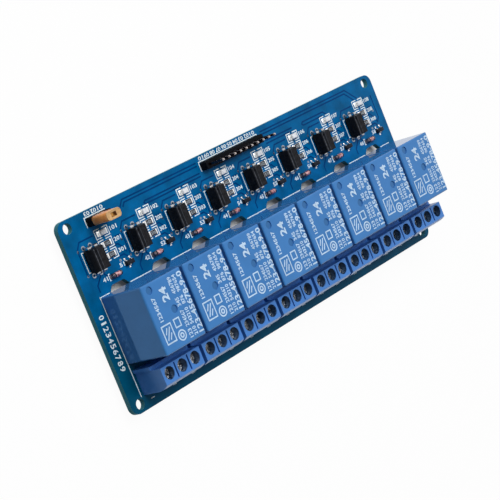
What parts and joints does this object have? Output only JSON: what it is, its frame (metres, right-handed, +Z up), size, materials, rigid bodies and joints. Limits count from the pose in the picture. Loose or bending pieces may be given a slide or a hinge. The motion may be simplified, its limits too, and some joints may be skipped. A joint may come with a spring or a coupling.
{
  "type": "relay module board",
  "caption": "Relay module: a blue circuit board with a row of sealed relays, screw terminals along the front, optocoupled inputs and pin headers along the back.",
  "frame": {"origin": "centre of the four mounting holes, on the underside of the circuit board", "axes": "+X along the board from the first channel to the last, +Y from the screw terminals to the pin headers, +Z up through the board to the components"},
  "size_m": [0.1386, 0.0542, 0.0193],
  "materials": {
    "solder_mask": "blue solder mask, satin",
    "solder": "bright tin solder",
    "relay_blue": "light blue moulded plastic, satin gloss",
    "relay_base_blue": "dark blue moulded plastic",
    "tinned_pins": "tinned copper",
    "terminal_blue": "blue moulded plastic, semi-gloss",
    "contact_brass": "bare brass",
    "screw_zinc": "zinc-plated steel",
    "ic_black": "black epoxy moulding",
    "led_cream": "translucent cream lens",
    "chip_black": "dark glaze with tinned ends",
    "diode_glass": "orange-red glass with tinned ends",
    "header_black": "black moulded nylon",
    "pin_tin": "tinned square wire",
    "jumper_amber": "amber moulded plastic",
    "clip_bronze": "phosphor bronze"
  },
  "bodies": {
    "root": {"board": "solder_mask", "solder_joints": "solder", "relay_pins": "tinned_pins", "terminal_contacts": "contact_brass", "terminal_screws": "screw_zinc", "optocoupler_leads": "tinned_pins", "status_leds": "led_cream", "led_resistors": "chip_black", "base_resistors": "chip_black", "flyback_diodes": "diode_glass", "driver_transistors": "ic_black", "input_header_base": "header_black", "input_header_pins": "pin_tin", "supply_header_base": "header_black", "supply_header_pins": "pin_tin", "jumper_cap": "jumper_amber", "jumper_clip": "clip_bronze", "relay_case_1": "relay_blue", "relay_base_1": "relay_base_blue", "terminal_housing_1": "terminal_blue", "optocoupler_1": "ic_black", "relay_case_2": "relay_blue", "relay_base_2": "relay_base_blue", "terminal_housing_2": "terminal_blue", "optocoupler_2": "ic_black", "relay_case_3": "relay_blue", "relay_base_3": "relay_base_blue", "terminal_housing_3": "terminal_blue", "optocoupler_3": "ic_black", "relay_case_4": "relay_blue", "relay_base_4": "relay_base_blue", "terminal_housing_4": "terminal_blue", "optocoupler_4": "ic_black", "relay_case_5": "relay_blue", "relay_base_5": "relay_base_blue", "terminal_housing_5": "terminal_blue", "optocoupler_5": "ic_black", "relay_case_6": "relay_blue", "relay_base_6": "relay_base_blue", "terminal_housing_6": "terminal_blue", "optocoupler_6": "ic_black", "relay_case_7": "relay_blue", "relay_base_7": "relay_base_blue", "terminal_housing_7": "terminal_blue", "optocoupler_7": "ic_black", "relay_case_8": "relay_blue", "relay_base_8": "relay_base_blue", "terminal_housing_8": "terminal_blue", "optocoupler_8": "ic_black"}
  },
  "joints": []
}
